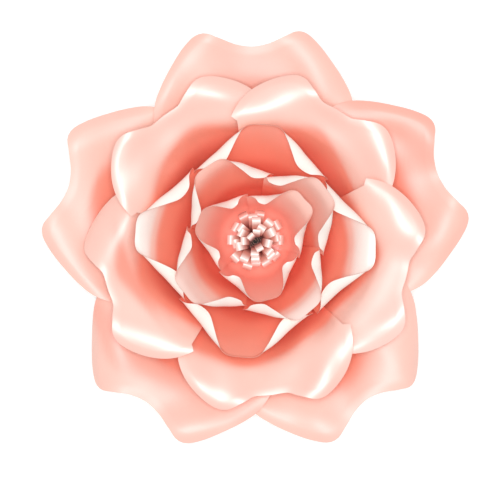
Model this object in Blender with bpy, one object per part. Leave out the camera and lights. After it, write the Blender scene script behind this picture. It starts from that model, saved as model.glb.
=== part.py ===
"""Giant paper flower, lying on its back with its face up.

Five rings of cut and curled card petals are glued by their tabs in a stack on a round backing
board, with a rolled and fringed strip in the middle. The origin is the middle of the board's back
face, +Z is the way the flower faces, and +Y is the top of the flower when it hangs on a wall.
"""

import math
from dataclasses import dataclass

import bmesh
import bpy
import numpy as np
from mathutils import Matrix, Vector

MM = 0.001

# Card, board and the clearance kept where one piece lies on another.
CARD = 0.4 * MM
GAP = 0.3 * MM
BOARD_RADIUS = 62.0 * MM
BOARD_THICKNESS = 2.0 * MM
BOARD_SIDES = 48

# Glued tabs: where they start from the axis, and the open angle between two neighbours.
TAB_START = 8.0 * MM
TAB_OPENING = math.radians(5.0)

# How a petal is shaped between its tab and its fold line.
CUP_SHARE = 0.4            # share of the ring's angle on each side that the cup reaches
FULL_WIDTH_SHARE = 0.5     # share of the way from tab to side corner by which it is full width
WIDEN_FROM_SHARE = 0.2     # share of that way over which it keeps the tab's angle
SIDE_CORNER_SHARE = 0.95   # inner end of the side corner, as a share of its radius

# Steepest rise of the middle ring in degrees: the ring behind it keeps just steeper, clear of it.
MIDDLE_SLOPE = 49.0

# Rods round which the outer petals' shoulders and the inner petals' tips are rolled, in mm.
SHOULDER_ROD = 44.0
TIP_ROD = 22.0

# Steps along the card in which a bowl's profile is followed.
PROFILE_LENGTH = 360.0 * MM
PROFILE_STEP = 0.5 * MM

# Mesh rows of one petal, which has one column for each point of its outline.
BOWL_ROWS = 6
EDGE_ROWS = 4

# Centre strip: the rolled band, and its fringe of teeth, one row to a turn of the roll.
BAND_HOLE = 5.0 * MM
BAND_HEIGHT = 18.0 * MM
TURN_PITCH = 3.4 * MM
TURN_TWIST = 0.35          # share of a tooth's pitch that each turn is set round
TOOTH_THICKNESS = 0.8 * MM
TOOTH_ROWS = 3
TEETH_A_TURN = 11
TOOTH_SHARE = 0.8          # share of the pitch that is tooth, the rest is cut away
TOOTH_STEPS = 5
TOOTH_CURL = math.radians(115.0)
INNER_TOOTH_STRAIGHT = 23.5 * MM
TOOTH_STRAIGHT_STEP = -7.5 * MM
INNER_TOOTH_CURL_RADIUS = 9.0 * MM
TOOTH_CURL_RADIUS_STEP = 3.0 * MM

CORAL = (0.85, 0.33, 0.26, 1.0)
CREAM = (0.90, 0.66, 0.58, 1.0)
GREY = (0.45, 0.43, 0.41, 1.0)


@dataclass
class Edge:
    """A point of a petal's fold line, and the card that curls beyond it there."""

    offset: float  # degrees from the petal's middle line
    radius: float  # mm from the flower's axis to the start of the curl
    length: float  # mm of card beyond it
    turn: float  # degrees that the card curls, forward above 0 and backward below


@dataclass
class Roll:
    """A shoulder or tip of a petal rolled back round a rod laid along it."""

    toward: float  # degrees from the petal's middle line to the way the shoulder faces
    start: float  # mm from the flower's axis to the line on which the roll starts
    rod: float = SHOULDER_ROD  # mm, radius of the roll


@dataclass
class Ring:
    """One ring of like petals on its own bowl, all sizes as cut and bent."""

    name: str
    centres: tuple  # degrees round from +X, one petal each
    tab_end: float  # mm from the axis, where the tab leaves the stack
    bend_length: float  # mm of card over which the petal bends up from its tab
    slope: float  # degrees, steepest rise of the petal
    step: float  # mm that a petal lies over its neighbour
    cup: float  # mm that the middle of a petal is pushed back
    settle: float  # mm beyond the tab over which step and cup come in
    half_outline: tuple  # Edge points from the middle line to the side
    flare_from: float = 0.0  # mm from the axis, where the petal starts to flare outward
    flare_length: float = 0.0  # mm of card over which it flares
    end_slope: float = 0.0  # degrees, rise beyond the flare
    rolls: tuple = ()  # for each petal, the Rolls of its shoulders or tip

    def __post_init__(self):
        """The bowl's profile, followed along the card in small steps."""
        self.sector = math.tau / len(self.centres)
        turned = sorted(self.centres)
        steps = [after - before for before, after in zip(turned, turned[1:])]
        self.closest = math.radians(min(steps + [360.0 + turned[0] - turned[-1]]))
        self.along = np.arange(0.0, PROFILE_LENGTH, PROFILE_STEP)
        tab_length = self.tab_end * MM - TAB_START
        bent = smooth_step((self.along - tab_length) / (self.bend_length * MM))
        self.slopes = math.radians(self.slope) * bent
        if self.flare_length:
            unflared = TAB_START + running_sum(np.cos(self.slopes))
            flare_start = np.interp(self.flare_from * MM, unflared, self.along)
            flared = smooth_step((self.along - flare_start) / (self.flare_length * MM))
            self.slopes -= math.radians(self.slope - self.end_slope) * flared
        self.radii = TAB_START + running_sum(np.cos(self.slopes))
        self.heights = running_sum(np.sin(self.slopes))
        rim = np.interp(max(edge.radius for edge in self.half_outline) * MM, self.radii, self.along)
        self.rim_spread = 1.0 / math.cos(np.interp(rim, self.along, self.slopes))
        self.apex_shift = np.interp(rim, self.along, self.radii) * self.rim_spread - rim


def running_sum(values):
    """Integral along the card of a value given at each profile step."""
    middles = 0.5 * (values[1:] + values[:-1]) * PROFILE_STEP
    return np.concatenate(((0.0,), np.cumsum(middles)))


def smooth_step(value):
    value = np.clip(value, 0.0, 1.0)
    return value * value * (3.0 - 2.0 * value)


RINGS = (
    Ring(
        "outer_petal", (90.9, 20.2, -55.0, -124.0, 163.6),
        tab_end=53.0, bend_length=70.0, slope=27.0, step=11.0, cup=7.0, settle=100.0,
        flare_from=170.0, flare_length=34.0, end_slope=16.0,
        rolls=(
            (Roll(49.0, 190.0), Roll(-50.0, 177.0)),
            (Roll(52.0, 176.0), Roll(-48.0, 182.0)),
            (Roll(54.0, 156.0), Roll(-50.0, 184.0)),
            (Roll(50.0, 186.0), Roll(-55.0, 156.0)),
            (Roll(46.0, 184.0), Roll(-54.0, 172.0)),
        ),
        half_outline=(
            Edge(0.0, 216.0, 12.0, -15.0),
            Edge(6.0, 221.0, 12.0, -15.0),
            Edge(11.0, 233.0, 12.0, -15.0),
            Edge(14.0, 240.0, 12.0, -15.0),
            Edge(17.5, 234.0, 12.0, -15.0),
            Edge(23.0, 219.0, 12.0, -15.0),
            Edge(28.5, 205.0, 12.0, -15.0),
            Edge(33.0, 193.0, 12.0, -12.0),
            Edge(38.5, 178.0, 8.0, -8.0),
        ),
    ),
    Ring(
        "second_petal", (58.0, -13.5, -84.0, -162.0, 126.0),
        tab_end=42.0, bend_length=78.0, slope=MIDDLE_SLOPE + 1.0, step=11.0, cup=6.0, settle=100.0,
        flare_from=136.0, flare_length=24.0, end_slope=21.0,
        rolls=(
            (Roll(51.0, 139.0), Roll(-39.0, 164.0)),
            (Roll(54.0, 138.0), Roll(-50.0, 148.0)),
            (Roll(50.0, 150.0), Roll(-34.0, 168.0)),
            (Roll(56.0, 134.0), Roll(-49.0, 128.0)),
            (Roll(54.0, 148.0), Roll(-54.0, 142.0)),
        ),
        half_outline=(
            Edge(0.0, 170.0, 10.0, -12.0),
            Edge(7.0, 171.0, 10.0, -12.0),
            Edge(12.0, 180.0, 10.0, -12.0),
            Edge(16.5, 188.0, 10.0, -12.0),
            Edge(20.5, 187.0, 10.0, -12.0),
            Edge(26.0, 180.0, 10.0, -12.0),
            Edge(31.0, 171.0, 10.0, -12.0),
            Edge(35.5, 160.0, 10.0, -10.0),
            Edge(40.5, 146.0, 8.0, -8.0),
        ),
    ),
    Ring(
        "middle_petal", (86.0, -4.0, -97.0, 176.0),
        tab_end=34.0, bend_length=58.0, slope=MIDDLE_SLOPE, step=5.0, cup=4.0, settle=80.0,
        rolls=((), (Roll(0.0, 122.0, TIP_ROD),), (), (Roll(-2.0, 122.0, TIP_ROD),)),
        half_outline=(
            Edge(0.0, 131.0, 6.0, 15.0),
            Edge(6.5, 131.0, 7.0, 25.0),
            Edge(11.0, 127.0, 14.0, 90.0),
            Edge(17.6, 121.0, 24.0, 135.0),
            Edge(25.6, 114.0, 30.0, 155.0),
            Edge(34.4, 110.0, 25.0, 140.0),
            Edge(41.0, 108.5, 13.0, 75.0),
            Edge(45.5, 108.0, 6.0, 15.0),
        ),
    ),
    Ring(
        "fourth_petal", (122.0, 35.5, -52.5, -144.5),
        tab_end=27.0, bend_length=47.0, slope=60.0, step=5.0, cup=2.0, settle=35.0,
        rolls=(
            (Roll(10.0, 92.0, TIP_ROD),),
            (Roll(3.0, 92.0, TIP_ROD),),
            (Roll(4.0, 91.0, TIP_ROD),),
            (Roll(-3.0, 93.0, TIP_ROD),),
        ),
        half_outline=(
            Edge(0.0, 97.0, 5.0, 15.0),
            Edge(8.0, 97.5, 5.0, 20.0),
            Edge(13.0, 95.0, 12.0, 70.0),
            Edge(20.0, 91.5, 20.0, 115.0),
            Edge(28.1, 85.5, 23.5, 130.0),
            Edge(38.1, 80.6, 17.5, 100.0),
            Edge(43.0, 79.0, 9.0, 50.0),
            Edge(46.5, 78.0, 5.0, 10.0),
        ),
    ),
    Ring(
        "inner_petal", (160.0, 40.0, -78.0),
        tab_end=21.0, bend_length=32.0, slope=66.0, step=3.5, cup=1.0, settle=25.0,
        rolls=((), (Roll(-6.0, 63.0, TIP_ROD),), ()),
        half_outline=(
            Edge(0.0, 69.0, 4.0, 15.0),
            Edge(9.0, 69.5, 4.0, 20.0),
            Edge(14.0, 67.0, 9.0, 60.0),
            Edge(22.0, 61.5, 15.0, 105.0),
            Edge(32.0, 56.7, 19.0, 130.0),
            Edge(43.0, 54.8, 16.0, 115.0),
            Edge(52.0, 54.5, 9.0, 60.0),
            Edge(61.0, 54.0, 4.0, 15.0),
        ),
    ),
)


def clear_scene():
    for obj in list(bpy.data.objects):
        bpy.data.objects.remove(obj, do_unlink=True)


def card_material(name, colour, roughness):
    material = bpy.data.materials.new(name)
    material.use_nodes = True
    shader = material.node_tree.nodes["Principled BSDF"]
    shader.inputs["Base Color"].default_value = colour
    shader.inputs["Roughness"].default_value = roughness
    shader.inputs["Metallic"].default_value = 0.0
    return material


def add_object(name, mesh_data, material):
    mesh = bpy.data.meshes.new(name)
    mesh_data.to_mesh(mesh)
    mesh_data.free()
    mesh.materials.append(material)
    obj = bpy.data.objects.new(name, mesh)
    bpy.context.scene.collection.objects.link(obj)
    return obj


def through_points(points, place):
    """Values of a smooth curve that passes through evenly spaced points, place in 0..1."""
    points = np.asarray(points, float)
    spans = len(points) - 1
    index = np.minimum((place * spans).astype(int), spans - 1)
    local = place * spans - index
    before = points[np.maximum(index - 1, 0)]
    start, end = points[index], points[index + 1]
    after = points[np.minimum(index + 2, spans)]
    return 0.5 * (
        2.0 * start
        + (end - before) * local
        + (2.0 * before - 5.0 * start + 4.0 * end - after) * local ** 2
        + (3.0 * start - before - 3.0 * end + after) * local ** 3
    )


def edge_at(ring, across):
    """Fold radius, offset, card length and turn at places across the petal, -1 to 1."""
    side = ring.half_outline
    whole = list(reversed(side[1:])) + list(side)
    signs = [-1.0] * (len(side) - 1) + [1.0] * len(side)
    place = 0.5 * (across + 1.0)
    offset = through_points([sign * math.radians(e.offset) for sign, e in zip(signs, whole)], place)
    radius = through_points([e.radius * MM for e in whole], place)
    length = through_points([e.length * MM for e in whole], place)
    turn = through_points([math.radians(e.turn) for e in whole], place)
    return radius, offset, length, turn


def distance_at(ring, radius):
    """Distance along the card at which the bowl has this radius."""
    return np.interp(radius, ring.radii, ring.along)


def on_petal(ring, distance, offset, lift):
    """Points of a petal whose middle line runs along +X, lift above the card's middle layer."""
    radius = np.interp(distance, ring.along, ring.radii)
    height = np.interp(distance, ring.along, ring.heights)
    slope = np.interp(distance, ring.along, ring.slopes)
    settled = smooth_step((radius - ring.tab_end * MM) / (ring.settle * MM))
    middle = np.cos(np.minimum(np.abs(offset) / (CUP_SHARE * ring.sector), 1.0) * math.pi / 2.0) ** 2
    pushed = MM * (ring.step * offset / ring.sector - ring.cup * middle)
    lift = lift + settled * pushed
    radius = radius - lift * np.sin(slope)
    height = height + lift * np.cos(slope)
    return np.stack((radius * np.cos(offset), radius * np.sin(offset), height), axis=-1)


def width_share(ring, radius):
    """Share of the petal's full angle that it has at this radius: its tab is narrower."""
    full = math.radians(ring.half_outline[-1].offset)
    tab = 0.5 * (ring.closest - TAB_OPENING)
    tab_end = ring.tab_end * MM
    to_corner = SIDE_CORNER_SHARE * ring.half_outline[-1].radius * MM - tab_end
    widened = (radius - tab_end) / to_corner - WIDEN_FROM_SHARE
    share = smooth_step(widened / (FULL_WIDTH_SHARE * (1.0 - WIDEN_FROM_SHARE)))
    return (tab + (full - tab) * share) / full


def flat_place(ring, radius, offset):
    """Places of bowl points on the card laid flat, with the apex of its cone at 0, 0."""
    slant = np.maximum(distance_at(ring, radius) + ring.apex_shift, PROFILE_STEP)
    angle = offset * radius / slant
    return np.stack((slant * np.cos(angle), slant * np.sin(angle)), axis=-1)


def rolled(ring, rolls, place, lift):
    """Places on the flat card and lifts above it, after the shoulders are rolled back."""
    for roll in rolls:
        toward = math.radians(roll.toward) / ring.rim_spread
        outward = np.array((math.cos(toward), math.sin(toward)))
        beyond = np.maximum(place @ outward - roll.start * MM * ring.rim_spread, 0.0)
        turned = beyond / (roll.rod * MM)
        place = place - outward * (beyond - roll.rod * MM * np.sin(turned))[..., None]
        lift = lift - roll.rod * MM * (1.0 - np.cos(turned))
    return place, lift


def from_flat(ring, place, lift):
    """Points of the petal from their places on the flat card."""
    slant = np.linalg.norm(place, axis=-1)
    distance = slant - ring.apex_shift
    arc = np.arctan2(place[..., 1], place[..., 0]) * slant
    radius = np.interp(distance, ring.along, ring.radii)
    return on_petal(ring, distance, arc / radius, lift)


def petal_grid(ring, rolls):
    """Points of one petal, row by row from its tab to its cut edge."""
    across = np.linspace(-1.0, 1.0, 2 * len(ring.half_outline) - 1)
    radius, offset, length, turn = edge_at(ring, across)
    tab_end = ring.tab_end * MM
    rows = [np.full_like(across, TAB_START)]
    rows += [tab_end + (radius - tab_end) * row / BOWL_ROWS for row in range(BOWL_ROWS + 1)]
    bowl = np.array(rows)
    aside = offset * width_share(ring, bowl)
    unrolled = on_petal(ring, distance_at(ring, bowl), aside, 0.0)
    place, lift = rolled(ring, rolls, flat_place(ring, bowl, aside), np.zeros_like(bowl))
    body = np.where((lift < 0.0)[..., None], from_flat(ring, place, lift), unrolled)
    fold = flat_place(ring, radius, offset)
    along = np.gradient(fold, axis=0)
    outward = np.stack((along[:, 1], -along[:, 0]), axis=-1)
    outward /= np.linalg.norm(outward, axis=-1, keepdims=True)
    curl_radius = length / turn
    share = np.arange(1, EDGE_ROWS + 1)[:, None] / EDGE_ROWS
    angle = share * turn
    place = fold + outward * (curl_radius * np.sin(angle))[..., None]
    place, lift = rolled(ring, rolls, place, curl_radius * (1.0 - np.cos(angle)))
    curl = from_flat(ring, place, lift)
    return np.concatenate((body, curl))


def build_petal(ring, index, stack_height, material):
    """One cut and curled sheet, thickened evenly about its middle layer."""
    mesh_data = bmesh.new()
    grid = petal_grid(ring, ring.rolls[index] if ring.rolls else ())
    rows = [[mesh_data.verts.new(point) for point in row] for row in grid.tolist()]
    for below, above in zip(rows, rows[1:]):
        for column in range(len(below) - 1):
            mesh_data.faces.new((below[column], above[column], above[column + 1], below[column + 1]))
    petal = add_object(f"{ring.name}_{index + 1}", mesh_data, material)
    petal.location.z = stack_height + 0.5 * CARD
    petal.rotation_euler.z = math.radians(ring.centres[index])
    sheet = petal.modifiers.new("card", "SOLIDIFY")
    sheet.thickness = CARD
    sheet.offset = 0.0
    petal.data.shade_smooth()
    return petal


def build_board(material):
    mesh_data = bmesh.new()
    bmesh.ops.create_cone(
        mesh_data, cap_ends=True, segments=BOARD_SIDES,
        radius1=BOARD_RADIUS, radius2=BOARD_RADIUS, depth=BOARD_THICKNESS,
        matrix=Matrix.Translation((0.0, 0.0, 0.5 * BOARD_THICKNESS)),
    )
    return add_object("backing_board", mesh_data, material)


def polar(radius, angle, height):
    return Vector((radius * math.cos(angle), radius * math.sin(angle), height))


def tooth_path(row):
    """Steps of a tooth above its foot: distance outward, height, and how far it has turned."""
    straight = INNER_TOOTH_STRAIGHT + row * TOOTH_STRAIGHT_STEP
    curl_radius = INNER_TOOTH_CURL_RADIUS + row * TOOTH_CURL_RADIUS_STEP
    for step in range(TOOTH_STEPS):
        turn = TOOTH_CURL * step / (TOOTH_STEPS - 1)
        yield curl_radius * (1.0 - math.cos(turn)), straight + curl_radius * math.sin(turn), turn


def grow_tooth(mesh_data, foot, row):
    """Walls of one tooth, from its foot on the band to its curled end."""
    middle = sum((vertex.co for vertex in foot), Vector()) / len(foot)
    out = Vector((middle.x, middle.y, 0.0)).normalized()
    up = Vector((0.0, 0.0, 1.0))
    side = up.cross(out) * 0.5 * (foot[3].co - foot[0].co).length
    below = list(foot)
    for reach, height, turn in tooth_path(row):
        centre = middle + out * reach + up * height
        through = (out * math.cos(turn) - up * math.sin(turn)) * 0.5 * TOOTH_THICKNESS
        corners = (-through - side, through - side, through + side, side - through)
        above = [mesh_data.verts.new(centre + corner) for corner in corners]
        for corner in range(4):
            following = (corner + 1) % 4
            mesh_data.faces.new((below[corner], below[following], above[following], above[corner]))
        below = above
    mesh_data.faces.new(below)


def band_radii():
    """Radii on the band's top: its hole, both faces of each turn's teeth, its outside."""
    radii = [BAND_HOLE]
    for row in range(TOOTH_ROWS):
        inner_face = BAND_HOLE + (row + 0.5) * TURN_PITCH - 0.5 * TOOTH_THICKNESS
        radii += [inner_face, inner_face + TOOTH_THICKNESS]
    return radii + [BAND_HOLE + TOOTH_ROWS * TURN_PITCH]


def build_centre(stack_height, material):
    """The rolled strip: its band as one ring, its teeth grown from the band's top."""
    mesh_data = bmesh.new()
    pitch = math.tau / TEETH_A_TURN
    angles = []
    for tooth in range(TEETH_A_TURN):
        angles += [tooth * pitch, (tooth + TOOTH_SHARE) * pitch]

    def circle(radius, turned, height):
        return [mesh_data.verts.new(polar(radius, angle + turned, height)) for angle in angles]

    radii = band_radii()
    turns = [TURN_TWIST * pitch * ((level + 1) // 2) for level in range(len(radii))]
    circles = [circle(radius, turned, BAND_HEIGHT) for radius, turned in zip(radii, turns)]
    foot_inner = circle(radii[0], turns[0], 0.0)
    foot_outer = circle(radii[-1], turns[-1], 0.0)
    circles = [foot_inner] + circles + [foot_outer]
    for place in range(len(angles)):
        after = (place + 1) % len(angles)
        mesh_data.faces.new((foot_inner[place], foot_outer[place], foot_outer[after], foot_inner[after]))
        for level, (inner, outer) in enumerate(zip(circles, circles[1:])):
            corners = (inner[place], outer[place], outer[after], inner[after])
            on_turn = 0 < level < len(circles) - 2 and level % 2 == 0
            if on_turn and place % 2 == 0:
                grow_tooth(mesh_data, corners, level // 2 - 1)
            else:
                mesh_data.faces.new(corners)
    bmesh.ops.recalc_face_normals(mesh_data, faces=mesh_data.faces)
    centre = add_object("fringed_centre", mesh_data, material)
    centre.location.z = stack_height
    return centre


def build_flower():
    coral = card_material("coral_card", CORAL, 0.35)
    cream = card_material("cream_card", CREAM, 0.4)
    board = card_material("grey_board", GREY, 0.9)
    build_board(board)
    stack_height = BOARD_THICKNESS + GAP
    for ring in RINGS:
        for index in range(len(ring.centres)):
            build_petal(ring, index, stack_height, coral)
        stack_height += CARD + GAP
    build_centre(stack_height, cream)


clear_scene()
build_flower()
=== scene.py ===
"""Looks of the giant paper flower: pearl card petals, a fringed centre, a grey backing board."""

import math
from dataclasses import dataclass

import bpy
import numpy as np
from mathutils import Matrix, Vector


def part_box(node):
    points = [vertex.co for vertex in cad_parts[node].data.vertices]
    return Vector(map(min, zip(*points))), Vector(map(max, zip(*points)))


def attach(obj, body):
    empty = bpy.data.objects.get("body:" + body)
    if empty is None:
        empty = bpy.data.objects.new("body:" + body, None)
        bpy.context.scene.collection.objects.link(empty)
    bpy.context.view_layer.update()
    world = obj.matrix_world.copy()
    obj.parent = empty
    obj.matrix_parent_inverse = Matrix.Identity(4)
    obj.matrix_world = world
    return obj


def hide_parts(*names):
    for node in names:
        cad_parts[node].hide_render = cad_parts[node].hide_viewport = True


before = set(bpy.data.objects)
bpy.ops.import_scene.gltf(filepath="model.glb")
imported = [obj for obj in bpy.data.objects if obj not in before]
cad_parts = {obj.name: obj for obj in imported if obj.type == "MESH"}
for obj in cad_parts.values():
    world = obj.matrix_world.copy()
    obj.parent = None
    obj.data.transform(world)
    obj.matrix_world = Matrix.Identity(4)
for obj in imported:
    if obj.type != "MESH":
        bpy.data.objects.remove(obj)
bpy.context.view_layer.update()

MM = 0.001

# The card, and the gap between the cards of a stack, as built.
CARD = 0.4 * MM
GAP = 0.3 * MM

# The tabs: where they start, and the angle left open between two of one ring.
TAB_START = 8.0 * MM
TAB_OPENING = math.radians(5.0)

# Shares that shape a petal, as built.
CUP_SHARE = 0.4  # of the ring's angle on each side that the cup reaches
FULL_WIDTH_SHARE = 0.5  # of the way from tab to side corner by which it is full width
WIDEN_FROM_SHARE = 0.2  # of that way over which it keeps the tab's angle
SIDE_CORNER_SHARE = 0.95  # of the side corner's radius, where that way ends

# Steps along the card in which a bowl's profile is followed.
PROFILE_LENGTH = 360.0 * MM
PROFILE_STEP = 0.5 * MM

# Rods round which shoulders and tips are rolled back, in mm.
SHOULDER_ROD = 44.0
TIP_ROD = 22.0
MIDDLE_TIP_ROD = 20.0

# How much sooner a curled edge bends than an even curl, which has 1, and the share of a
# forward flap's card that is left so that it covers what the even curl does.
FOLD_SHARPNESS = 1.35
FLAP_SHARE = 0.88

# Mesh steps of one petal.
COLUMNS = 88
TAB_ROWS = 4
BOWL_ROWS = 30
EDGE_ROWS = 20
SHARP_ANGLE = math.radians(45.0)

# The unevenness of a hand-shaped petal: how many waves, their lengths in mm, and the random
# seeds set aside for each ring.
WAVES = 4
WAVE_LENGTHS = (40.0, 110.0)
SEEDS_A_RING = 10

# Painted light before each rolled shoulder: where the colour turns pale before the start of a roll,
# in mm, and its painted shade from there on.
FADE_BEFORE_ROLL = 44.0
PALE_BEFORE_ROLL = 6.0
ROLL_PAINTED_LIGHT = 0.1

# The photograph's frame: pixels across, where the flower's axis lies in it, and its scale at a
# height between the petals' roots and rims. The camera's height is a guess, its sensor in mm.
FRAME_PIXELS = 500
AXIS_PIXEL = (255.0, 241.0)
METRES_A_PIXEL = 1.19 * MM
SCALE_HEIGHT = 40.0 * MM
CAMERA_HEIGHT = 2.8
SENSOR_WIDTH = 36.0


@dataclass
class Edge:
    """A point of a petal's fold line, and the card that curls beyond it there."""

    offset: float  # degrees from the petal's middle line
    radius: float  # mm from the flower's axis to the start of the curl
    length: float  # mm of card beyond it
    turn: float  # degrees that the card curls, forward above 0 and backward below


@dataclass
class Roll:
    """A shoulder or tip of a petal rolled back round a rod laid along it."""

    toward: float  # degrees from the petal's middle line to the way the shoulder faces
    start: float  # mm from the flower's axis to the line on which the roll starts
    rod: float = SHOULDER_ROD  # mm, radius of the roll


@dataclass
class PaintedShadePatch:
    """A part of a petal beyond a line, where painted shade or a painted highlight turns its colour
    to another level.
    """

    toward: float  # degrees from the petal's middle line to the way the line faces
    start: float  # mm from the flower's axis to the line on which the fading starts
    end: float  # mm from the axis to the line where it ends
    depth: float  # of painted shade there: 2 darkest, 1 coral, 0 pale, -1 near-white painted highlight


@dataclass
class Ring:
    """One ring of like petals on its own bowl, all sizes as cut and bent."""

    name: str
    centres: tuple  # degrees round from +X, one petal each
    tab_end: float  # mm from the axis, where the tab leaves the stack
    bend_length: float  # mm of card over which the petal bends up from its tab
    slope: float  # degrees, steepest rise of the petal
    step: float  # mm that a petal lies over its neighbour
    cup: float  # mm that the middle of a petal is pushed back
    settle: float  # mm beyond the tab over which step and cup come in
    wave: float  # mm, unevenness of the hand-shaped card
    tones: tuple  # mm from the axis, where the painted shade is darkest, coral and palest
    half_outline: tuple  # Edge points from the middle line to the side
    rolls: tuple  # for each petal, the Rolls of its shoulders or tip
    shade_patches: tuple  # for each petal, its patches of painted shade and painted highlight besides those before rolled shoulders
    flare_from: float = 0.0  # mm from the axis, where the petal starts to flare outward
    flare_length: float = 0.0  # mm of card over which it flares
    end_slope: float = 0.0  # degrees, rise beyond the flare

    def __post_init__(self):
        """Angles between the petals, and the bowl's profile, followed along the card in steps."""
        self.sector = math.tau / len(self.centres)
        in_turn = sorted(self.centres)
        steps = [after - before for before, after in zip(in_turn, in_turn[1:])]
        self.closest = math.radians(min(steps + [360.0 + in_turn[0] - in_turn[-1]]))
        self.along = np.arange(0.0, PROFILE_LENGTH, PROFILE_STEP)
        tab_length = self.tab_end * MM - TAB_START
        bent = smooth_step((self.along - tab_length) / (self.bend_length * MM))
        self.slopes = math.radians(self.slope) * bent
        if self.flare_length:
            unflared = TAB_START + running_sum(np.cos(self.slopes))
            flare_start = np.interp(self.flare_from * MM, unflared, self.along)
            flared = smooth_step((self.along - flare_start) / (self.flare_length * MM))
            self.slopes -= math.radians(self.slope - self.end_slope) * flared
        self.radii = TAB_START + running_sum(np.cos(self.slopes))
        self.heights = running_sum(np.sin(self.slopes))
        # At the rim the bowl is close to a cone. The spread is the cone's slant for each unit of
        # radius, and the shift is what distances along the card lack to start at its apex.
        rim = np.interp(max(edge.radius for edge in self.half_outline) * MM, self.radii, self.along)
        self.rim_spread = 1.0 / math.cos(np.interp(rim, self.along, self.slopes))
        self.apex_shift = np.interp(rim, self.along, self.radii) * self.rim_spread - rim


def running_sum(values):
    """Integral along the card of a value given at each profile step."""
    middles = 0.5 * (values[1:] + values[:-1]) * PROFILE_STEP
    return np.concatenate(((0.0,), np.cumsum(middles)))


def smooth_step(value):
    """0 up to 0, 1 from 1 on, and an even turn between them."""
    value = np.clip(value, 0.0, 1.0)
    return value * value * (3.0 - 2.0 * value)


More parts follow.
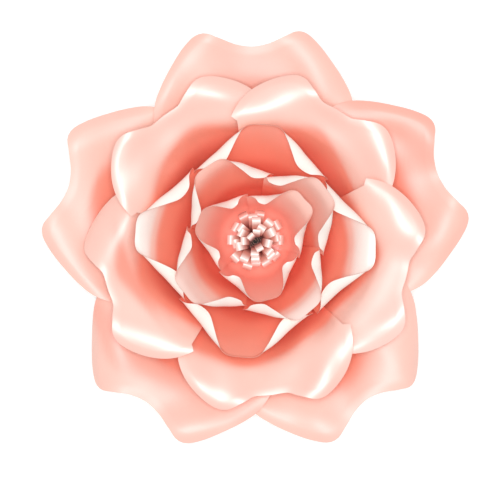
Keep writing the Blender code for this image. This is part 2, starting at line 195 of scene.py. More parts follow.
RINGS = (
    Ring(
        "outer_petal", (90.9, 20.2, -55.0, -124.0, 163.6),
        tab_end=53.0, bend_length=70.0, slope=27.0, step=11.0, cup=7.0, settle=100.0, wave=3.2,
        tones=(140.0, 186.0, 226.0),
        flare_from=170.0, flare_length=34.0, end_slope=16.0,
        rolls=(
            (Roll(49.0, 190.0), Roll(-50.0, 177.0)),
            (Roll(52.0, 176.0), Roll(-48.0, 182.0)),
            (Roll(54.0, 156.0), Roll(-50.0, 184.0)),
            (Roll(50.0, 186.0), Roll(-55.0, 156.0)),
            (Roll(46.0, 184.0), Roll(-54.0, 172.0)),
        ),
        # Painted shade where lobes turn from the light, and painted light.
        shade_patches=(
            (PaintedShadePatch(0.0, 140.0, 200.0, 0.2),),
            (PaintedShadePatch(0.0, 172.0, 212.0, 0.3), PaintedShadePatch(36.0, 176.0, 200.0, 0.45)),
            (),
            (
                PaintedShadePatch(10.0, 160.0, 186.0, 0.35),
                PaintedShadePatch(-24.0, 176.0, 200.0, 0.45),
                PaintedShadePatch(-34.0, 206.0, 224.0, 0.0),
                PaintedShadePatch(10.0, 196.0, 220.0, 0.05),
            ),
            (PaintedShadePatch(0.0, 196.0, 208.0, 0.0),),
        ),
        half_outline=(
            Edge(0.0, 216.0, 12.0, -15.0),
            Edge(6.0, 221.0, 12.0, -15.0),
            Edge(11.0, 233.0, 12.0, -15.0),
            Edge(14.0, 240.0, 12.0, -15.0),
            Edge(17.5, 234.0, 12.0, -15.0),
            Edge(23.0, 219.0, 12.0, -15.0),
            Edge(28.5, 205.0, 12.0, -15.0),
            Edge(33.0, 193.0, 12.0, -12.0),
            Edge(38.5, 178.0, 8.0, -8.0),
        ),
    ),
    Ring(
        "second_petal", (58.0, -13.5, -84.0, -162.0, 126.0),
        tab_end=42.0, bend_length=78.0, slope=50.0, step=11.0, cup=6.0, settle=100.0, wave=2.6,
        tones=(112.0, 138.0, 168.0),
        flare_from=136.0, flare_length=24.0, end_slope=21.0,
        rolls=(
            (Roll(51.0, 139.0), Roll(-39.0, 164.0)),
            (Roll(54.0, 138.0), Roll(-50.0, 148.0)),
            (Roll(50.0, 150.0), Roll(-34.0, 168.0)),
            (Roll(56.0, 134.0), Roll(-49.0, 128.0)),
            (Roll(54.0, 148.0), Roll(-54.0, 142.0)),
        ),
        # Painted light on each petal, and a band of painted coral shade across the fourth.
        shade_patches=(
            (PaintedShadePatch(-40.0, 112.0, 128.0, 0.2),),
            (PaintedShadePatch(-44.0, 92.0, 124.0, -0.3),),
            (PaintedShadePatch(22.0, 116.0, 138.0, 0.15),),
            (
                PaintedShadePatch(6.0, 134.0, 150.0, 0.9),
                PaintedShadePatch(26.0, 138.0, 156.0, 0.1),
                PaintedShadePatch(-20.0, 154.0, 170.0, 0.1),
            ),
            (PaintedShadePatch(24.0, 128.0, 148.0, 0.1),),
        ),
        half_outline=(
            Edge(0.0, 170.0, 10.0, -12.0),
            Edge(7.0, 171.0, 10.0, -12.0),
            Edge(12.0, 180.0, 10.0, -12.0),
            Edge(16.5, 188.0, 10.0, -12.0),
            Edge(20.5, 187.0, 10.0, -12.0),
            Edge(26.0, 180.0, 10.0, -12.0),
            Edge(31.0, 171.0, 10.0, -12.0),
            Edge(35.5, 160.0, 10.0, -10.0),
            Edge(40.5, 146.0, 8.0, -8.0),
        ),
    ),
    Ring(
        "middle_petal", (86.0, -4.0, -97.0, 176.0),
        tab_end=34.0, bend_length=58.0, slope=49.0, step=5.0, cup=4.0, settle=80.0, wave=1.6,
        tones=(80.0, 104.0, 200.0),
        rolls=((), (Roll(0.0, 120.0, MIDDLE_TIP_ROD),), (), (Roll(2.0, 123.0, MIDDLE_TIP_ROD),)),
        # Near-white painted highlights on the left and right petals' rolled tips.
        shade_patches=((), (PaintedShadePatch(4.0, 100.0, 122.0, -1.0),), (), (PaintedShadePatch(-14.0, 106.0, 124.0, -1.0),)),
        half_outline=(
            Edge(0.0, 131.0, 6.0, 15.0),
            Edge(6.5, 131.0, 7.0, 25.0),
            Edge(11.0, 127.0, 14.0, 90.0),
            Edge(17.6, 121.0, 24.0, 135.0),
            Edge(25.6, 114.0, 30.0, 155.0),
            Edge(34.4, 110.0, 25.0, 140.0),
            Edge(41.0, 108.5, 13.0, 75.0),
            Edge(45.5, 108.0, 6.0, 15.0),
        ),
    ),
    Ring(
        "fourth_petal", (122.0, 35.5, -52.5, -144.5),
        tab_end=27.0, bend_length=47.0, slope=60.0, step=5.0, cup=2.0, settle=35.0, wave=1.0,
        tones=(58.0, 76.0, 200.0),
        rolls=(
            (Roll(10.0, 92.0, TIP_ROD),),
            (Roll(3.0, 92.0, TIP_ROD),),
            (Roll(4.0, 91.0, TIP_ROD),),
            (Roll(-3.0, 93.0, TIP_ROD),),
        ),
        # Painted light, near white towards three of the tips.
        shade_patches=(
            (PaintedShadePatch(16.0, 80.0, 98.0, 0.3),),
            (PaintedShadePatch(-4.0, 50.0, 84.0, -0.25),),
            (PaintedShadePatch(8.0, 80.0, 93.0, -0.6),),
            (PaintedShadePatch(-14.0, 68.0, 88.0, -0.5),),
        ),
        half_outline=(
            Edge(0.0, 97.0, 5.0, 15.0),
            Edge(8.0, 97.5, 5.0, 20.0),
            Edge(13.0, 95.0, 12.0, 70.0),
            Edge(20.0, 91.5, 20.0, 115.0),
            Edge(28.1, 85.5, 23.5, 130.0),
            Edge(38.1, 80.6, 17.5, 100.0),
            Edge(43.0, 79.0, 9.0, 50.0),
            Edge(46.5, 78.0, 5.0, 10.0),
        ),
    ),
    Ring(
        "inner_petal", (160.0, 40.0, -78.0),
        tab_end=21.0, bend_length=32.0, slope=66.0, step=3.5, cup=1.0, settle=25.0, wave=0.6,
        tones=(10.0, 34.0, 220.0),
        rolls=((), (Roll(-6.0, 63.0, TIP_ROD),), ()),
        # Painted light paling two of the inner petals towards their rims.
        shade_patches=((PaintedShadePatch(-14.0, 50.0, 66.0, 0.3),), (PaintedShadePatch(-8.0, 30.0, 64.0, 0.1),), ()),
        half_outline=(
            Edge(0.0, 69.0, 4.0, 15.0),
            Edge(9.0, 69.5, 4.0, 20.0),
            Edge(14.0, 67.0, 9.0, 60.0),
            Edge(22.0, 61.5, 15.0, 105.0),
            Edge(32.0, 56.7, 19.0, 130.0),
            Edge(43.0, 54.8, 16.0, 115.0),
            Edge(52.0, 54.5, 9.0, 60.0),
            Edge(61.0, 54.0, 4.0, 15.0),
        ),
    ),
)


def through_points(points, place):
    """Values of a smooth curve that passes through evenly spaced points, place in 0..1."""
    points = np.asarray(points, float)
    spans = len(points) - 1
    index = np.minimum((place * spans).astype(int), spans - 1)
    local = place * spans - index
    before = points[np.maximum(index - 1, 0)]
    start, end = points[index], points[index + 1]
    after = points[np.minimum(index + 2, spans)]
    return 0.5 * (
        2.0 * start
        + (end - before) * local
        + (2.0 * before - 5.0 * start + 4.0 * end - after) * local ** 2
        + (3.0 * start - before - 3.0 * end + after) * local ** 3
    )


def edge_at(ring, across):
    """Fold radius, offset, card length and turn at places across the petal, -1 to 1."""
    side = ring.half_outline
    whole = list(reversed(side[1:])) + list(side)
    signs = [-1.0] * (len(side) - 1) + [1.0] * len(side)
    place = 0.5 * (across + 1.0)
    offset = through_points([sign * math.radians(e.offset) for sign, e in zip(signs, whole)], place)
    radius = through_points([e.radius * MM for e in whole], place)
    length = through_points([e.length * MM for e in whole], place)
    turn = through_points([math.radians(e.turn) for e in whole], place)
    return radius, offset, length, turn


def distance_at(ring, radius):
    """Distance along the card at which the bowl has this radius."""
    return np.interp(radius, ring.radii, ring.along)


class Unevenness:
    """A gentle, repeatable wave over one hand-shaped petal, in the plane of its card."""

    def __init__(self, seed, size):
        draw = np.random.RandomState(seed)
        self.size = size
        self.terms = [
            (draw.uniform(*WAVE_LENGTHS), draw.uniform(0.0, math.tau), draw.uniform(0.0, math.pi))
            for _ in range(WAVES)
        ]

    def __call__(self, along, sideways):
        total = np.zeros(np.broadcast(along, sideways).shape)
        for wavelength, phase, way in self.terms:
            travel = along * math.cos(way) + sideways * math.sin(way)
            total += np.sin(math.tau * travel / (wavelength * MM) + phase)
        return self.size * MM * total / len(self.terms)


def on_petal(ring, distance, offset, lift, wave):
    """Points of a petal whose middle line runs along +X, lift above the card's middle layer."""
    radius = np.interp(distance, ring.along, ring.radii)
    height = np.interp(distance, ring.along, ring.heights)
    slope = np.interp(distance, ring.along, ring.slopes)
    settled = smooth_step((radius - ring.tab_end * MM) / (ring.settle * MM))
    middle = np.cos(np.minimum(np.abs(offset) / (CUP_SHARE * ring.sector), 1.0) * math.pi / 2.0) ** 2
    pushed = MM * (ring.step * offset / ring.sector - ring.cup * middle)
    lift = lift + settled * (pushed + wave(distance, offset * radius))
    radius = radius - lift * np.sin(slope)
    height = height + lift * np.cos(slope)
    return np.stack((radius * np.cos(offset), radius * np.sin(offset), height), axis=-1)


def width_share(ring, radius):
    """Share of the petal's full angle that it has at this radius: its tab is narrower."""
    full = math.radians(ring.half_outline[-1].offset)
    tab = 0.5 * (ring.closest - TAB_OPENING)
    tab_end = ring.tab_end * MM
    to_corner = SIDE_CORNER_SHARE * ring.half_outline[-1].radius * MM - tab_end
    widened = (radius - tab_end) / to_corner - WIDEN_FROM_SHARE
    share = smooth_step(widened / (FULL_WIDTH_SHARE * (1.0 - WIDEN_FROM_SHARE)))
    return (tab + (full - tab) * share) / full


def flat_place(ring, radius, offset):
    """Places of bowl points on the card laid flat, with the apex of its cone at 0, 0."""
    slant = np.maximum(distance_at(ring, radius) + ring.apex_shift, PROFILE_STEP)
    angle = offset * radius / slant
    return np.stack((slant * np.cos(angle), slant * np.sin(angle)), axis=-1)


def way_on_card(ring, toward):
    """Way on the flat card that faces so many degrees from the petal's middle line."""
    angle = math.radians(toward) / ring.rim_spread
    return np.array((math.cos(angle), math.sin(angle)))


def rolled(ring, rolls, place, lift):
    """Places on the flat card and lifts above it, after shoulders and tip are rolled back."""
    for roll in rolls:
        outward = way_on_card(ring, roll.toward)
        beyond = np.maximum(place @ outward - roll.start * MM * ring.rim_spread, 0.0)
        turned = beyond / (roll.rod * MM)
        place = place - outward * (beyond - roll.rod * MM * np.sin(turned))[..., None]
        lift = lift - roll.rod * MM * (1.0 - np.cos(turned))
    return place, lift


def from_flat(ring, place, lift, wave):
    """Points of the petal from their places on the flat card."""
    slant = np.linalg.norm(place, axis=-1)
    distance = slant - ring.apex_shift
    arc = np.arctan2(place[..., 1], place[..., 0]) * slant
    radius = np.interp(distance, ring.along, ring.radii)
    return on_petal(ring, distance, arc / radius, lift, wave)


def bowl_rows(ring, radius):
    """Radii of a petal's rows: over its tab, then from the tab's end to its fold line."""
    tab_end = ring.tab_end * MM
    tab_rows = np.linspace(TAB_START, tab_end, TAB_ROWS, endpoint=False)
    rows = [np.full_like(radius, tab_row) for tab_row in tab_rows]
    rows += [tab_end + (radius - tab_end) * row / BOWL_ROWS for row in range(BOWL_ROWS + 1)]
    return np.array(rows)


def bowl_grid(ring, rolls, bowl, offset, wave):
    """Points of a petal within its fold line, and their places on the flat card."""
    aside = offset * width_share(ring, bowl)
    unrolled = on_petal(ring, distance_at(ring, bowl), aside, 0.0, wave)
    cut = flat_place(ring, bowl, aside)
    place, lift = rolled(ring, rolls, cut, np.zeros_like(bowl))
    points = np.where((lift < 0.0)[..., None], from_flat(ring, place, lift, wave), unrolled)
    return points, cut


def curl_grid(ring, rolls, edge, wave):
    """Points of the card that curls beyond the fold line, and their places on the flat card."""
    radius, offset, length, turn = edge
    fold = flat_place(ring, radius, offset)
    along = np.gradient(fold, axis=0)
    outward = np.stack((along[:, 1], -along[:, 0]), axis=-1)
    outward /= np.linalg.norm(outward, axis=-1, keepdims=True)
    passed = (np.arange(EDGE_ROWS)[:, None] + 0.5) / EDGE_ROWS
    angle = turn * (1.0 - (1.0 - passed) ** FOLD_SHARPNESS)
    step = np.where(turn > 0.0, FLAP_SHARE, 1.0) * length / EDGE_ROWS
    curled = fold + outward * np.cumsum(step * np.cos(angle), axis=0)[..., None]
    place, lift = rolled(ring, rolls, curled, np.cumsum(step * np.sin(angle), axis=0))
    return from_flat(ring, place, lift, wave), curled


def petal_grid(ring, rolls, shade_patches, wave):
    """Points of one petal, row by row from its tab to its cut edge, and its painted shade and light.
    """
    edge = edge_at(ring, np.linspace(-1.0, 1.0, COLUMNS + 1))
    radius, offset = edge[:2]
    bowl = bowl_rows(ring, radius)
    body, cut = bowl_grid(ring, rolls, bowl, offset, wave)
    curl, curled = curl_grid(ring, rolls, edge, wave)
    depth = painted_shade_at(ring, shade_patches, bowl, cut)
    curl_painted_shade = painted_shade_at(ring, shade_patches, np.broadcast_to(radius, curl.shape[:2]), curled)
    return np.concatenate((body, curl)), np.concatenate((depth, curl_painted_shade))


def shade_patches_of(ring, index):
    """Painted shade and light of a petal: paler before its rolled shoulders, and where listed."""
    shoulders = ring.rolls[index] if ring.flare_length else ()
    shade_patches = [
        PaintedShadePatch(roll.toward, roll.start - FADE_BEFORE_ROLL, roll.start - PALE_BEFORE_ROLL, ROLL_PAINTED_LIGHT)
        for roll in shoulders
    ]
    return shade_patches + list(ring.shade_patches[index])


def painted_shade_at(ring, shade_patches, radius, place):
    """Painted shade on the card: 2 darkest shade, 1 coral shade, 0 pale, -1 near-white painted
    highlight.
    """
    # Painted shade: darkest deep in the bowl where the next ring covers it, pale further out where
    # the card opens to the light.
    darkest, coral, palest = (tone * MM for tone in ring.tones)
    depth = 2.0 - smooth_step((radius - darkest) / (coral - darkest))
    depth -= smooth_step((radius - coral) / (palest - coral))
    for shade_patch in shade_patches:
        reach = place @ way_on_card(ring, shade_patch.toward) / (MM * ring.rim_spread)
        depth += (shade_patch.depth - depth) * smooth_step((reach - shade_patch.start) / (shade_patch.end - shade_patch.start))
    return depth


def grid_faces(rows, columns):
    """Quads of a grid of points stored row by row."""
    row, column = np.mgrid[0:rows - 1, 0:columns - 1]
    first = (row * columns + column).ravel()
    return np.stack((first, first + columns, first + columns + 1, first + 1), axis=-1)


def face_normals(points, faces):
    """Unnormalised directions that the quads face, as long as twice their area."""
    corners = points[faces]
    return np.cross(corners[:, 2] - corners[:, 0], corners[:, 3] - corners[:, 1])


def point_normals(points, faces):
    """Unit directions that the sheet faces at its points."""
    normals = np.zeros_like(points)
    across = face_normals(points, faces)
    for corner in range(4):
        np.add.at(normals, faces[:, corner], across)
    return normals / np.linalg.norm(normals, axis=-1, keepdims=True)


def open_edges(faces):
    """Edges that only one quad has, in that quad's winding."""
    edges = np.concatenate([faces[:, [corner, (corner + 1) % 4]] for corner in range(4)])
    keys = {tuple(edge) for edge in edges.tolist()}
    return np.array([edge for edge in edges.tolist() if (edge[1], edge[0]) not in keys])


def add_to_scene(name, data):
    """An object that holds a mesh or a light."""
    thing = bpy.data.objects.new(name, data)
    bpy.context.scene.collection.objects.link(thing)
    return thing


def card_object(name, points, faces, materials, depth):
    """A closed piece of card from one sheet of quads: front, back and cut edge.

    Both sides carry the painted shade and painted highlight given for each point.
    """
    normals = point_normals(points, faces)
    count = len(points)
    rim = open_edges(faces)
    walls = np.stack((rim[:, 1], rim[:, 0], rim[:, 0] + count, rim[:, 1] + count), axis=-1)
    whole = np.concatenate((points + normals * 0.5 * CARD, points - normals * 0.5 * CARD))
    quads = np.concatenate((faces, faces[:, ::-1] + count, walls))
    mesh = bpy.data.meshes.new(name)
    mesh.from_pydata(whole.tolist(), [], quads.tolist())
    for material in materials:
        mesh.materials.append(material)
    sides = np.repeat((0, 1, 2), (len(faces), len(faces), len(walls)))
    mesh.polygons.foreach_set("material_index", sides.astype(np.int32))
    layer = mesh.attributes.new("depth", "FLOAT", "POINT")
    layer.data.foreach_set("value", np.tile(depth, 2).astype(np.float32))
    mesh.update()
    mesh.shade_smooth()
    mesh.set_sharp_from_angle(angle=SHARP_ANGLE)
    return add_to_scene(name, mesh)


class Nodes:
    """A material's node tree, with short calls for the nodes used here."""

    MIX_INPUTS = (0, 6, 7)  # a colour mix's share and its two colours
    MIX_OUTPUT = 2

    def __init__(self, name):
        self.material = bpy.data.materials.new(name)
        self.material.use_nodes = True
        self.tree = self.material.node_tree
        self.shader = self.tree.nodes["Principled BSDF"]

    def add(self, kind, **settings):
        node = self.tree.nodes.new(kind)
        for key, value in settings.items():
            setattr(node, key, value)
        return node

    def link(self, output, socket):
        self.tree.links.new(output, socket)

    def give(self, value, socket):
        """A socket's value: another node's output, or a constant."""
        if isinstance(value, bpy.types.NodeSocket):
            self.link(value, socket)
        else:
            socket.default_value = value

    def place(self):
        return self.add("ShaderNodeTexCoord").outputs["Object"]

    def noise(self, scale, detail=2.0, roughness=0.5):
        node = self.add("ShaderNodeTexNoise")
        node.inputs["Scale"].default_value = scale
        node.inputs["Detail"].default_value = detail
        node.inputs["Roughness"].default_value = roughness
        self.link(self.place(), node.inputs["Vector"])
        return node.outputs["Fac"]

    def spread(self, value, source, target=(0.0, 1.0)):
        """A value that turns smoothly from one end of the target to the other over the source."""
        node = self.add("ShaderNodeMapRange", interpolation_type="SMOOTHSTEP")
        for key, number in zip(("From Min", "From Max", "To Min", "To Max"), (*source, *target)):
            node.inputs[key].default_value = number
        self.link(value, node.inputs["Value"])
        return node.outputs["Result"]

    def mix(self, share, first, second, blend="MIX"):
        node = self.add("ShaderNodeMix", data_type="RGBA", blend_type=blend)
        for socket, value in zip(self.MIX_INPUTS, (share, first, second)):
            self.give(value, node.inputs[socket])
        return node.outputs[self.MIX_OUTPUT]

    def bump(self, height, distance, strength=1.0, before=None):
        node = self.add("ShaderNodeBump")
        node.inputs["Strength"].default_value = strength
        node.inputs["Distance"].default_value = distance
        self.link(height, node.inputs["Height"])
        if before is not None:
            self.link(before, node.inputs["Normal"])
        return node.outputs["Normal"]

    def fix(self, constants):
        """Constants on the shader's own sockets."""
        for key, value in constants.items():
            self.shader.inputs[key].default_value = value

    def finish(self, colour, normal, roughness):
        self.link(colour, self.shader.inputs["Base Color"])
        self.link(normal, self.shader.inputs["Normal"])
        self.give(roughness, self.shader.inputs["Roughness"])
        return self.material


# Linear colours of the card's front, its back, the fringe, the cut edge and the board. On the front
# the near white is a painted highlight, and the coral and the dark are painted shade.
PAINTED_HIGHLIGHT = (1.0, 0.86, 0.79, 1.0)
PALE = (1.0, 0.60, 0.50, 1.0)
PAINTED_CORAL_SHADE = (1.0, 0.30, 0.20, 1.0)
PAINTED_DARK_SHADE = (0.86, 0.17, 0.11, 1.0)
CREAM = (1.0, 0.94, 0.87, 1.0)
# The cut edge's two fibre tones are darkened as painted shade, a thin shadow line along each rim.
EDGE_PALE = (0.84, 0.48, 0.40, 1.0)
EDGE_DEEP = (0.72, 0.36, 0.29, 1.0)
# The board is very dark, as painted shade where it shows through the centre.
BOARD_PALE = (0.15, 0.135, 0.12, 1.0)
BOARD_DEEP = (0.10, 0.09, 0.08, 1.0)
BOARD_FLECK = (0.06, 0.05, 0.045, 1.0)
PETAL_TONES = (PAINTED_HIGHLIGHT, PALE, PAINTED_CORAL_SHADE, PAINTED_DARK_SHADE)
# The heart's deeper tones are painted shade; the fringe's near-black is painted shadow deep between
# its teeth.
HEART_TONES = (PAINTED_HIGHLIGHT, PALE, (1.0, 0.42, 0.33, 1.0), (0.88, 0.40, 0.32, 1.0))
FRINGE_TONES = (PAINTED_HIGHLIGHT, (1.0, 0.76, 0.69, 1.0), (0.92, 0.40, 0.32, 1.0), (0.26, 0.04, 0.03, 1.0))
# The back's pinker darkest tone is painted shade, as on the front.
BACK_TONES = (CREAM, CREAM, CREAM, (0.99, 0.82, 0.73, 1.0))

# Patterns of the card and the board: noise scales, the ranges of noise over which a pattern
# changes, and the height of its relief in metres.
CLOUD_SCALE = 14.0
MICA_SCALE = 2600.0
CARD_FIBRE_SCALE = 650.0
GLINT_SCALE = 1900.0
EDGE_FIBRE_SCALE = 1800.0
BOARD_FIBRE_SCALE = 420.0
FLECK_SCALE = 1300.0
SOFT_RANGE = (0.3, 0.7)
MICA_RANGE = (0.35, 0.65)
FLECK_RANGE = (0.62, 0.72)
FIBRE_RELIEF = 0.00006
MICA_RELIEF = 0.00002
EDGE_RELIEF = 0.00005
BOARD_RELIEF = 0.00012
CARD_RELIEF_STRENGTH = 0.4

# Brightness of the card's colour under the clouds and the mica, and the surfaces' roughness.
SHADES = (0.97, 1.02)
CARD_ROUGHNESS = (0.42, 0.52)
EDGE_ROUGHNESS = 0.8
BOARD_ROUGHNESS = 0.9

# The gloss of each front and of the backs: how strong the coat is, and how rough.
OUTER_GLOSS = (0.3, 0.46)
SECOND_GLOSS = (0.7, 0.38)
INNER_GLOSS = (0.5, 0.36)
HEART_GLOSS = (0.4, 0.40)
FRINGE_GLOSS = (0.6, 0.36)
BACK_GLOSS = (0.3, 0.44)

# The card's shader beside its coat: pearl lustre with a faint lilac cast.
PEARL = {
    "Metallic": 0.0,
    "IOR": 1.6,
    "Specular Tint": (0.95, 0.88, 1.0, 1.0),
    "Coat IOR": 2.2,
    "Sheen Weight": 0.08,
    "Sheen Roughness": 0.35,
    "Sheen Tint": (1.0, 0.88, 0.97, 1.0),
}


def pearl_card(name, tones, gloss):
    """Pearl card: fine mica speckle, soft fibre, and a colour that follows the painted shade given
    to it.

    The tones are those of painted shade -1, a near-white painted highlight, 0, pale, 1, coral shade,
    and 2, darkest shade.
    """
    nodes = Nodes(name)
    # Painted shade and painted highlight, read from the mesh.
    depth = nodes.add("ShaderNodeAttribute", attribute_name="depth").outputs["Fac"]
    tone = tones[0]
    for end, deeper in enumerate(tones[1:]):
        tone = nodes.mix(nodes.spread(depth, (end - 1.0, end)), tone, deeper)
    shade = nodes.add("ShaderNodeMath", operation="MULTIPLY")
    nodes.link(nodes.spread(nodes.noise(CLOUD_SCALE, 3.0), SOFT_RANGE, SHADES), shade.inputs[0])
    nodes.link(nodes.spread(nodes.noise(MICA_SCALE, 1.0), MICA_RANGE, SHADES), shade.inputs[1])
    tinted = nodes.mix(1.0, tone, shade.outputs[0], "MULTIPLY")
    fibre = nodes.noise(CARD_FIBRE_SCALE, 4.0, 0.6)
    normal = nodes.bump(fibre, FIBRE_RELIEF, CARD_RELIEF_STRENGTH)
    normal = nodes.bump(nodes.noise(MICA_SCALE, 1.0), MICA_RELIEF, CARD_RELIEF_STRENGTH, normal)
    roughness = nodes.spread(nodes.noise(GLINT_SCALE, 2.0), SOFT_RANGE, CARD_ROUGHNESS)
    nodes.fix(PEARL)
    nodes.fix({"Coat Weight": gloss[0], "Coat Roughness": gloss[1]})
    return nodes.finish(tinted, normal, roughness)


def edge_with_painted_shade():
    """A cut through the card: fibre tones darker than its pale core, as painted shade, a thin shadow
    line along each rim.
    """
    nodes = Nodes("card_edge_painted_shade")
    fibre = nodes.noise(EDGE_FIBRE_SCALE, 4.0, 0.7)
    tone = nodes.mix(nodes.spread(fibre, SOFT_RANGE), EDGE_DEEP, EDGE_PALE)
    return nodes.finish(tone, nodes.bump(fibre, EDGE_RELIEF), EDGE_ROUGHNESS)


def grey_board():
    """Uncoated board: grey-brown fibre with darker flecks, made very dark so that where it shows at
    the centre it stands as painted shade.
    """
    nodes = Nodes("grey_board_fibre")
    fibre = nodes.noise(BOARD_FIBRE_SCALE, 6.0, 0.7)
    ground = nodes.mix(nodes.spread(fibre, SOFT_RANGE), BOARD_DEEP, BOARD_PALE)
    fleck = nodes.spread(nodes.noise(FLECK_SCALE, 2.0), FLECK_RANGE)
    tone = nodes.mix(fleck, ground, BOARD_FLECK)
    return nodes.finish(tone, nodes.bump(fibre, BOARD_RELIEF), BOARD_ROUGHNESS)


def turned_about_axis(points, degrees):
    """Points turned about the flower's axis."""
    angle = math.radians(degrees)
    turned = points.copy()
    turned[..., 0] = points[..., 0] * math.cos(angle) - points[..., 1] * math.sin(angle)
    turned[..., 1] = points[..., 0] * math.sin(angle) + points[..., 1] * math.cos(angle)
    return turned


def stack_height(level):
    """Height of the middle of a ring's tabs: the board, then one card and one gap a ring."""
    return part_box("backing_board")[1].z + GAP + 0.5 * CARD + level * (CARD + GAP)


def add_petals(fronts, back, edge):
    """Every petal of every ring, on the node that it stands for."""
    for level, ring in enumerate(RINGS):
        for index, centre in enumerate(ring.centres):
            node = f"{ring.name}_{index + 1}"
            wave = Unevenness(SEEDS_A_RING * level + index, ring.wave)
            rolls = ring.rolls[index]
            points, depth = petal_grid(ring, rolls, shade_patches_of(ring, index), wave)
            points = turned_about_axis(points, centre)
            points[..., 2] += stack_height(level)
            faces = grid_faces(*depth.shape)
            materials = (fronts[level], back, edge)
            points = points.reshape(-1, 3)
            piece = card_object(f"{node}_card", points, faces, materials, depth.ravel())
            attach(piece, "root")
            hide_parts(node)


# The rolled strip, from its hole outwards, and the mesh steps of its band and of one tooth.
ROLL_HOLE = 1.4 * MM
ROLL_PITCH = 2.5 * MM
ROLL_TURNS = 5.4
BAND_HEIGHT = 18.0 * MM
BAND_COLUMNS = 160
BAND_ROWS = 3
TOOTH_COLUMNS = 5
TOOTH_ROWS = 30

# The teeth of its fringe: the innermost one's size, what the outermost one adds, and how far a
# single tooth strays, with angles in degrees and lengths in mm.
FRINGE_SEED = 5
TOOTH_PITCH = 8.8 * MM
TOOTH_WIDTH = 9.6 * MM
INNER_WIDTH_SHARE = 0.85
WIDTH_SHARE_ADDED = 0.35
LEAN = (6.0, 46.0, 4.0)
STRAIGHT = (26.0, -3.0, 1.5)
CURL_RADIUS = (3.0, 2.4, 0.4)
CURL_TURN = (122.5, 0.0, 27.5)
FACING = (0.0, 0.0, 14.0)
LEAN_SHARE = 0.5  # of the straight length, over which a tooth leans out

# Shares of the centre's height: where its painted shade, darkest at the foot of the teeth, starts to
# turn pale, and over how much.
PALE_FROM_SHARE = 0.5
PALE_OVER_SHARE = 0.45


def roll_place(along):
    """Angle and radius on the roll at a length along the strip, from its inner end."""
    radius = np.sqrt(ROLL_HOLE ** 2 + along * ROLL_PITCH / math.pi)
    return (radius - ROLL_HOLE) * math.tau / ROLL_PITCH, radius


def strayed(draw, kind, place):
    """One tooth's size at its place between the innermost, 0, and the outermost, 1."""
    inner, added, stray = kind
    return inner + added * place + draw.uniform(-stray, stray)


def tooth_grid(along, draw):
    """Points of one tooth, from the band's top to its curled tip."""
    angle, radius = roll_place(along)
    place = (radius - ROLL_HOLE) / (ROLL_PITCH * ROLL_TURNS)
    lean = math.radians(strayed(draw, LEAN, place))
    straight = strayed(draw, STRAIGHT, place) * MM
    curl_radius = strayed(draw, CURL_RADIUS, place) * MM
    curl_turn = math.radians(strayed(draw, CURL_TURN, place))
    facing = angle + math.radians(strayed(draw, FACING, place))
    out = np.array((math.cos(facing), math.sin(facing), 0.0))
    side = np.array((-out[1], out[0], 0.0))
    up = np.array((0.0, 0.0, 1.0))
    width = TOOTH_WIDTH * (INNER_WIDTH_SHARE + WIDTH_SHARE_ADDED * place)
    across = np.linspace(-0.5, 0.5, TOOTH_COLUMNS + 1)[:, None] * width * side
    foot = np.array((math.cos(angle), math.sin(angle), 0.0))
    centre = radius * foot + (BAND_HEIGHT - CARD) * up
    step = (straight + curl_radius * curl_turn) / TOOTH_ROWS
    rows = [centre + across]
    for row in range(TOOTH_ROWS):
        travelled = step * (row + 0.5)
        leaning = lean * smooth_step(travelled / (LEAN_SHARE * straight))
        direction = leaning + max(travelled - straight, 0.0) / curl_radius
        centre = centre + step * (math.sin(direction) * out + math.cos(direction) * up)
        rows.append(centre + across)
    return np.array(rows)


def band_grid(length):
    """Points of the rolled band below the teeth."""
    angle, radius = roll_place(np.linspace(0.0, length, BAND_COLUMNS + 1))
    foot = np.stack((radius * np.cos(angle), radius * np.sin(angle), np.zeros_like(angle)), axis=-1)
    up = np.array((0.0, 0.0, BAND_HEIGHT))
    return np.array([foot + up * row / BAND_ROWS for row in range(BAND_ROWS + 1)])


def add_centre(materials):
    """The strip of card rolled up as the centre, its teeth curled outwards."""
    draw = np.random.RandomState(FRINGE_SEED)
    outer_radius = ROLL_HOLE + ROLL_PITCH * ROLL_TURNS
    length = math.pi * (outer_radius ** 2 - ROLL_HOLE ** 2) / ROLL_PITCH
    grids = [band_grid(length)]
    for tooth in range(int(length / TOOTH_PITCH)):
        grids.append(tooth_grid((tooth + 0.5) * TOOTH_PITCH, draw))
    points, faces, first = [], [], 0
    for grid in grids:
        rows, columns = grid.shape[:2]
        points.append(grid.reshape(-1, 3))
        faces.append(grid_faces(rows, columns) + first)
        first += rows * columns
    points = np.concatenate(points)
    height = points[:, 2] / points[:, 2].max()
    points[:, 2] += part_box("fringed_centre")[0].z
    # Painted shade, near black at the foot of the teeth, fading out towards their curled tips.
    depth = 2.0 - 2.0 * smooth_step((height - PALE_FROM_SHARE) / PALE_OVER_SHARE)
    faces = np.concatenate(faces)
    piece = card_object("fringed_centre_card", points, faces, materials, depth)
    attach(piece, "root")
    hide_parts("fringed_centre")


# The studio: a white floor, a soft overhead lamp and an even white world.
FLOOR_HALF = 12.0
FLOOR_DROP = 0.2 * MM
FLOOR_COLOUR = (0.92, 0.92, 0.92, 1.0)
FLOOR_ROUGHNESS = 0.9
FLOOR_GLOW = 0.2
LAMP_HEIGHT = 3.2
LAMP_SIZE = 1.2
LAMP_POWER = 52.0
WORLD_STRENGTH = 0.62
PURE_WHITE = (1.0, 1.0, 1.0, 1.0)
DIFFUSE_BOUNCES = 8  # light passes many times between the petals


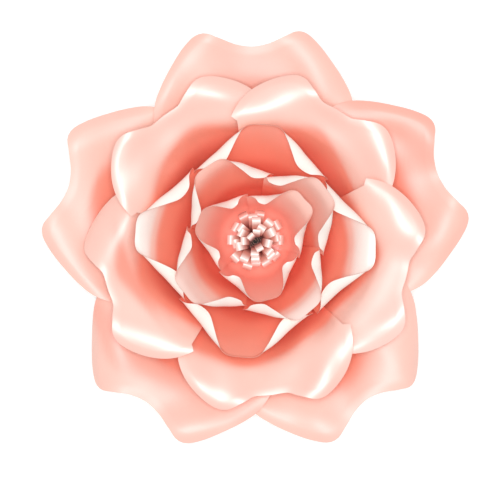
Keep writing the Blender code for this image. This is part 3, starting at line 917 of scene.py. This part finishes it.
def white_floor():
    """Plain white, a little brighter to the camera alone, so that the floor's far end is white."""
    nodes = Nodes("white_floor")
    path = nodes.add("ShaderNodeLightPath")
    glow = nodes.add("ShaderNodeMath", operation="MULTIPLY")
    glow.inputs[1].default_value = FLOOR_GLOW
    nodes.link(path.outputs["Is Camera Ray"], glow.inputs[0])
    nodes.link(glow.outputs[0], nodes.shader.inputs["Emission Strength"])
    nodes.fix({
        "Base Color": FLOOR_COLOUR,
        "Roughness": FLOOR_ROUGHNESS,
        "Specular IOR Level": 0.0,
        "Emission Color": PURE_WHITE,
    })
    return nodes.material


def add_floor():
    """The floor that the flower lies on."""
    mesh = bpy.data.meshes.new("floor")
    signs = ((-1.0, -1.0), (1.0, -1.0), (1.0, 1.0), (-1.0, 1.0))
    mesh.from_pydata([(FLOOR_HALF * x, FLOOR_HALF * y, 0.0) for x, y in signs], [], [(0, 1, 2, 3)])
    mesh.materials.append(white_floor())
    floor = add_to_scene("floor", mesh)
    floor.location.z = -FLOOR_DROP


def light_scene():
    """White surroundings and one soft lamp overhead."""
    world = bpy.data.worlds.new("studio")
    bpy.context.scene.world = world
    world.use_nodes = True
    background = world.node_tree.nodes["Background"]
    background.inputs["Color"].default_value = PURE_WHITE
    background.inputs["Strength"].default_value = WORLD_STRENGTH
    lamp = bpy.data.lights.new("overhead", "AREA")
    lamp.shape = "DISK"
    lamp.size = LAMP_SIZE
    lamp.energy = LAMP_POWER
    add_to_scene("overhead", lamp).location.z = LAMP_HEIGHT


def add_camera():
    """Straight above the flower, framed as the photograph is."""
    data = bpy.data.cameras.new("camera")
    data.sensor_width = SENSOR_WIDTH
    width = FRAME_PIXELS * METRES_A_PIXEL
    data.lens = SENSOR_WIDTH * (CAMERA_HEIGHT - SCALE_HEIGHT) / width
    camera = add_to_scene("camera", data)
    middle = 0.5 * FRAME_PIXELS
    camera.location = (
        (middle - AXIS_PIXEL[0]) * METRES_A_PIXEL,
        (AXIS_PIXEL[1] - middle) * METRES_A_PIXEL,
        CAMERA_HEIGHT,
    )
    bpy.context.scene.camera = camera


def dress_board():
    """Grey board for the backing, very dark as painted shade where it shows at the centre."""
    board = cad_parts["backing_board"]
    board.data.materials.clear()
    board.data.materials.append(grey_board())


def dress_flower():
    """Every petal and the centre as card, each ring with its gloss, the middle and fourth rings
    sharing one.
    """
    outer = pearl_card("pearl_card_soft", PETAL_TONES, OUTER_GLOSS)
    second = pearl_card("pearl_card_pale", PETAL_TONES, SECOND_GLOSS)
    inner = pearl_card("pearl_card_deep", PETAL_TONES, INNER_GLOSS)
    heart = pearl_card("pearl_card_heart", HEART_TONES, HEART_GLOSS)
    fringe = pearl_card("pearl_card_fringe", FRINGE_TONES, FRINGE_GLOSS)
    back = pearl_card("pearl_card_back", BACK_TONES, BACK_GLOSS)
    edge = edge_with_painted_shade()
    add_petals((outer, second, inner, inner, heart), back, edge)
    add_centre((fringe, back, edge))


dress_flower()
dress_board()
add_floor()
light_scene()
add_camera()
scene = bpy.context.scene
scene.view_settings.view_transform = "Standard"
scene.cycles.diffuse_bounces = DIFFUSE_BOUNCES
